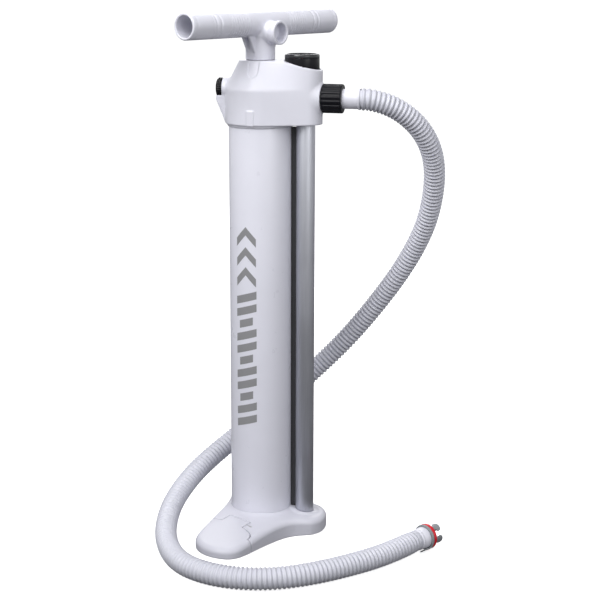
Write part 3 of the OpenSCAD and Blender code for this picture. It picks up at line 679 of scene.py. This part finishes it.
def head(x, y, z):
    rho = np.hypot(x, y)
    r1 = 41.5 - 17.0 / 32.6 * softplus(z - 541.0, 0.9)
    wall = teardrop(x, y, np.clip(r1, 22.5, 42), 21.5, 52.7)
    slope = np.where(z > 541, 0.90, 1.0)
    wall = wall * np.where(x < 10, slope, 1.0)
    top = 573.6 - 0.25 * softplus(x - 31.0, 1.5)
    d = rmax(wall, (z - top) * 0.98, 1.1)
    d = rmax(d, HZ - z, 0.9)
    # front recess and front latch tab
    a = math.radians(-93)
    er, et = x * math.cos(a) + y * math.sin(a), -x * math.sin(a) + y * math.cos(a)
    u = np.hypot(et, np.minimum(z - 561.2, 0)) - 6.3
    cut = np.maximum(np.maximum(u, -(wall + 1.5)), -er)
    d = rmax(d, -cut, 0.6)
    tab = boxd(er, et, z, (39.5, -4.3, 499.8), (42.35, 4.3, 517.5), 0.7)
    d = rmin(d, tab, 0.7)
    # rear air intake, the same outline, with an opening
    cutb = np.maximum(np.maximum(np.hypot(x, np.minimum(z - 561.2, 0)) - 6.3, -(wall + 1.5)), -y)
    d = rmax(d, -cutb, 0.6)
    d = rmax(d, -cyl(x, y - 27.0, z, 5.2, 534, 600, 0.3), 0.5)
    # step ring over the barrel
    ring = rmax(rho - (38.7 + 0.42 * (z - 497.0)), np.abs(z - 500.0) - 3.2, 0.5)
    d = rmin(d, ring, 0.4)
    # mode port: boss and gusset
    boss = cyl(y, z - 540.3, -x, 12.5, 25, 44.5, 0.7)
    g = np.maximum(np.maximum(-x - 52.0 + 0.42857 * np.maximum(527.0 - z, 0) * 1.0, z - 536.3), 502 - z)
    g = np.maximum(g * 0.92, x + 30)
    g = rmax(g, np.abs(y) - 10.0, 1.6)
    g = rmax(g, -(np.maximum(np.hypot(y, z - 540.3) - 12.5, x + 44.6)), 0.5)
    d = rmin(d, rmin(boss, g, 1.0), 2.2)
    # outlet boss and spigot
    ob = rmax(np.hypot(y, z - 530.4) - 15.7, np.abs(x - 66) - 8.0, 0.8)
    d = rmin(d, ob, 5.0)
    d = np.minimum(d, cyl(y, z - 530.4, x, 11.9, 60, 89.9, 0.5))
    # sockets, chamber, seats
    d = rmax(d, -cyl(x, y, z, 37.6, 480, 521.6, 0.3), 0.3)
    d = rmax(d, -cyl(x - 54.7, y, z, 11.3, 480, 519.6, 0.3), 0.4)
    d = np.maximum(d, -cyl(x, y, z, 34, 519, 530, 0.3))
    d = np.maximum(d, -cyl(x, y, z, 14.1, 528, 580, 0.3))
    d = rmax(d, -cyl(x, y, z, 16.1, 572.6, 580, 0.1), 0.3)
    d = rmax(d, -cyl(x - 50, y, z, 20.9, 560.6, 620, 0.3), 0.6)
    d = np.maximum(d, -cyl(x - 50, y, z, 5.05, 545, 562, 0.1))
    d = np.maximum(d, -cyl(y, z - 530.4, x, 8.0, 60, 95, 0.3))
    d = rmax(d, -cyl(y, z - 540.3, -x, 6.5, 26, 60, 0.3), 0.4)
    return d


P, F = surface(head, (-54, -44, 495.5), (92, 44, 576), 0.92)
add_mesh("pump_head", P, F, M["white"], "pump_body", ("head",))

# ------------------------------------------------------------------ handle
HT, BAR_Z = -25.5, 615.4


def handle(x, y, z):
    """Local frame: bar along y, near end at -y, parking socket along +x."""
    zz = z - BAR_Z
    rho = np.hypot(x, zz)
    ay = np.abs(y)
    r = 15.25 - 0.55 * np.clip((ay - 128.6) / 1.2, 0, 1)
    # ring grooves and the fine ribs of the grip
    for c, w, dep in ((83.0, 1.1, 0.85), (91.0, 1.1, 0.85), (96.0, 0.7, 0.35), (122.5, 0.9, 0.45)):
        r = r - dep * np.exp(-((ay - c) / w) ** 2)
    ribs = np.clip((ay - 32) / 4, 0, 1) * np.clip((70 - ay) / 4, 0, 1)
    r = r - 0.62 * ribs * (0.5 + 0.5 * np.cos(2 * np.pi * ay / 4.2)) ** 1.5
    bar = rmax(rho - r, ay - 130.0, 0.7)
    neck = rmax(np.hypot(x, y) - (17.35 + 1.6 * np.clip((z - 594) / 8, 0, 1) ** 2), np.maximum(574.0 - z, z - 612), 0.7)
    d = rmin(bar, neck, 1.6)
    # two thin webs under the bar, running down into the neck
    edge = 16.9 + np.clip((z - 581.5) / 22.0, 0, 1) * 11.3
    for c in (-5.0, 5.0):
        g = rmax(np.abs(x - c) - 1.5, np.maximum((ay - edge) * 0.89, np.maximum(578.0 - z, z - 606)), 0.6)
        d = rmin(d, g, 0.7)
    sr = 13.2 + 0.6 / (1 + np.exp(-(x - 25.6) / 0.2)) - 0.6 * np.exp(-((x - 21.0) / 0.7) ** 2) - 0.5 * np.exp(-((x - 28.6) / 0.5) ** 2)
    sock = rmax(np.hypot(y, z - 605.4) - sr, np.maximum(-x, x - 31.0), 0.8)
    d = rmin(d, sock, 1.4)
    # bores
    d = rmax(d, -rmax(rho - 12.3, 26.0 - ay, 1.0), 0.8)
    d = rmax(d, -rmax(np.hypot(y, z - 605.4) - 10.8, 19.0 - x, 1.0), 0.8)
    d = rmax(d, -cyl(x, y, z, 10.05, 560, 598.4, 0.2), 0.4)
    d = rmax(d, -cyl(y, z - 586.0, -x, 4.6, 14, 40, 0.2), 0.3)
    d = rmax(d, -cyl(y, z - 586.0, -x, 2.55, 5, 40, 0.2), 0.2)
    return d


P, F = surface(handle, (-20, -132, 572.5), (33, 132, 632.5), 0.86)
add_mesh("t_handle", P @ rot_z(HT).T, F, M["white"], "rod_and_handle", ("handle",))

# ------------------------------------------------------------------ barrel, print and side tube
P, F = lathe(rounded([(35, 11.7), (37.5, 11.7), (37.5, 519.9), (35, 519.9)], 0.5, 3), 256)
add_mesh("barrel_tube", P, F, M["barrel"], "pump_body", ("barrel",), sharp=40)
P, F = lathe(rounded([(9.6, 11.7), (11.1, 11.7), (11.1, 517.9), (9.6, 517.9)], 0.4, 3), 128, at=(54.7, 0, 0))
add_mesh("return_tube", P, F, M["alu"], "pump_body", ("side_tube",), sharp=40)


def print_marks():
    """Slanted bars and two arrows, wrapped round the barrel: a plain graphic with no letters."""
    r = 37.58
    c0 = math.radians(-104.5)
    verts, faces = [], []

    def quad(pts, nu=10, nv=8):
        (a, b, c, d) = [np.array(p, float) for p in pts]
        base_n = len(verts)
        for i in range(nu + 1):
            for j in range(nv + 1):
                u, v = i / nu, j / nv
                p = (1 - u) * (1 - v) * a + u * (1 - v) * b + u * v * c + (1 - u) * v * d
                th = c0 + p[0] / r
                verts.append((r * math.cos(th), r * math.sin(th), p[1]))
        for i in range(nu):
            for j in range(nv):
                k = base_n + i * (nv + 1) + j
                faces.append((k, k + nv + 1, k + nv + 2, k + 1))

    lean = 0.30
    # a column of slanted bars of different lengths; s is across, t is up
    def bar(s0, s1, t0, t1):
        quad([(s0, t0 + lean * s0), (s1, t0 + lean * s1), (s1, t1 + lean * s1), (s0, t1 + lean * s0)])

    z = 139.0
    for i in range(11):
        w = (13.5, 13.5, 9.0)[i % 3]
        bar(-w, w, z, z + 9.5)
        z += 15.2
    # three chevrons above, pointing up
    for zc in (z + 14, z + 38, z + 62):
        quad([(-13, zc - 11), (0, zc + 3), (0, zc + 13), (-13, zc - 1)])
        quad([(0, zc + 3), (13, zc - 11), (13, zc - 1), (0, zc + 13)])
    return np.array(verts), faces


V, Fl = print_marks()
add_mesh("barrel_print", V, [tuple(f) for f in Fl], M["print"], "pump_body")

# ------------------------------------------------------------------ pressure gauge
GX = np.array([50.0, 0, 0])
P, F = lathe(rounded([(1.8, 546), (5, 546), (5, 561.2, 0.2), (19.6, 561.2, 0.8), (20.4, 562.2, 0.6), (20.4, 576.5, 0.3), (18.0, 576.5), (18.0, 563.6), (1.8, 563.6)], 0.3), 160, at=GX)
add_mesh("gauge_drum", P, F, M["black"], "pump_body", ("gauge_case",), sharp=40)
P, F = lathe(rounded([(17.75, 576.7, 0.1), (20.4, 576.7, 0.2), (20.4, 581.3, 3.4), (16.6, 581.35, 0.6), (16.6, 578.75, 0.1), (17.75, 578.75, 0.1)], 0.3, 10), 160, at=GX)
add_mesh("gauge_rim", P, F, M["rim"], "pump_body", ("gauge_bezel",), sharp=60)
prof = [(0.01, 576.7), (17.6, 576.7), (17.6, 578.6)] + [(r, 578.7 + 1.5 * (1 - (r / 16.4) ** 2)) for r in np.linspace(16.4, 0.01, 18)]
P, F = lathe(prof, 128, close=False, at=GX)
add_mesh("gauge_window", P, F, M["lens"], "pump_body", ("gauge_lens",), sharp=50)


def dial_marks():
    verts, faces = [], []
    for i in range(28):
        a = math.radians(225 - 270 * i / 27.0)
        major = i % 3 == 0
        r0, r1, w = (11.3 if major else 13.0), 15.2, (0.45 if major else 0.22)
        c, s = math.cos(a), math.sin(a)
        k = len(verts)
        for (r, t) in ((r0, -w), (r1, -w), (r1, w), (r0, w)):
            for zz in (573.35, 573.5):
                verts.append((50 + r * c - t * s, r * s + t * c, zz))
        b = [k, k + 2, k + 4, k + 6]
        t = [i_ + 1 for i_ in b]
        faces += [tuple(t), tuple(b[::-1])] + [(b[j], b[(j + 1) % 4], t[(j + 1) % 4], t[j]) for j in range(4)]
    return np.array(verts), faces


V, Fl = dial_marks()
add_mesh("dial_marks", V, Fl, M["dark"], "pump_body", smooth=False)

# ------------------------------------------------------------------ materials on the CAD nodes that stay
# joining_strip takes the near-black strip material, which paints shade into the gap between barrel and side tube
keep = {"rod_bush": "dark", "rod_seal": "rubber", "barrel_top_gasket": "rubber", "side_tube_top_gasket": "rubber", "head_intake_valve": "rubber",
        "head_outlet_valve": "rubber", "base_cover": "white", "base_screws": "steel", "barrel_foot_gasket": "rubber", "side_tube_foot_gasket": "rubber",
        "foot_intake_valve": "rubber", "foot_outlet_valve": "rubber", "front_hinge_pin": "steel", "rear_hinge_pin": "steel", "piston": "natural",
        "piston_seal": "rubber", "piston_guide_ring": "dark", "piston_rod": "rod", "rod_plug": "dark", "piston_bolt": "steel", "piston_washer": "steel",
        "handle_screw": "steel", "gauge_dial": "dial", "gauge_movement": "brass", "gauge_gasket": "rubber", "gauge_needle": "needle",
        "mode_cap_gasket": "rubber", "outlet_gasket": "rubber", "joining_strip": "strip"}
for n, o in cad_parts.items():
    if o.hide_render:
        mat = M["white"]
    else:
        mat = M[keep[n]]
    o.data.materials.clear()
    o.data.materials.append(mat)

# ------------------------------------------------------------------ floor, light
def floor():
    me = bpy.data.meshes.new("floor")
    h = 40.0
    me.from_pydata([(-h, -h, -0.0004), (h, -h, -0.0004), (h, h, -0.0004), (-h, h, -0.0004)], [], [(0, 1, 2, 3)])
    m, nt, p, l = _new("pale_floor")
    p.inputs["Base Color"].default_value = (0.9, 0.9, 0.9, 1)
    p.inputs["Roughness"].default_value = 0.9
    p.inputs["Specular IOR Level"].default_value = 0.0
    p.inputs["Emission Color"].default_value = (1, 1, 1, 1)
    p.inputs["Emission Strength"].default_value = 0.74
    me.materials.append(m)
    o = bpy.data.objects.new("floor", me)
    scene.collection.objects.link(o)
    o.visible_diffuse = False
    o.visible_glossy = False


floor()


def area(name, loc, target, size, power, color=(1, 1, 1)):
    d = bpy.data.lights.new(name, "AREA")
    d.shape = "RECTANGLE"
    d.size, d.size_y = size
    d.energy = power
    d.color = color
    o = bpy.data.objects.new(name, d)
    scene.collection.objects.link(o)
    o.location = loc
    o.rotation_mode = "QUATERNION"
    o.rotation_quaternion = (Vector(target) - Vector(loc)).to_track_quat("-Z", "Y")
    return o


area("key", (-1.0, -2.1, 2.0), (0.03, 0, 0.4), (1.4, 1.4), 46)
area("top", (-0.1, -0.45, 1.55), (0.03, 0, 0.5), (0.9, 0.9), 7.0)
area("fill", (1.7, -1.5, 1.3), (0.05, 0, 0.4), (1.2, 1.2), 14)
area("back", (-0.5, 2.1, 1.6), (0.03, 0, 0.35), (1.4, 1.4), 20)
world = bpy.data.worlds.new("world")
scene.world = world
world.use_nodes = True
bg = world.node_tree.nodes["Background"]
bg.inputs["Color"].default_value = (0.97, 0.98, 1.0, 1)
bg.inputs["Strength"].default_value = 1.0
wt = world.node_tree
tc = wt.nodes.new("ShaderNodeTexCoord")
sp = wt.nodes.new("ShaderNodeSeparateXYZ")
mr = wt.nodes.new("ShaderNodeMapRange")
mr.inputs["From Min"].default_value = -1.0
mr.inputs["From Max"].default_value = 1.0
ramp = wt.nodes.new("ShaderNodeValToRGB")
cr = ramp.color_ramp
cr.elements[0].position = 0.46
cr.elements[0].color = (0.13, 0.13, 0.135, 1)
cr.elements[1].position = 0.495
cr.elements[1].color = (0.95, 0.955, 0.96, 1)
for pos, v in ((0.56, 0.90), (0.68, 0.38), (1.0, 0.38)):
    e = cr.elements.new(pos)
    e.color = (v * 0.98, v * 0.99, v, 1)
wt.links.new(tc.outputs["Generated"], sp.inputs[0])
wt.links.new(sp.outputs["Z"], mr.inputs["Value"])
wt.links.new(mr.outputs[0], ramp.inputs["Fac"])
wt.links.new(ramp.outputs["Color"], bg.inputs["Color"])
scene.view_settings.view_transform = "Standard"
scene.view_settings.look = "None"
scene.view_settings.exposure = 0.0
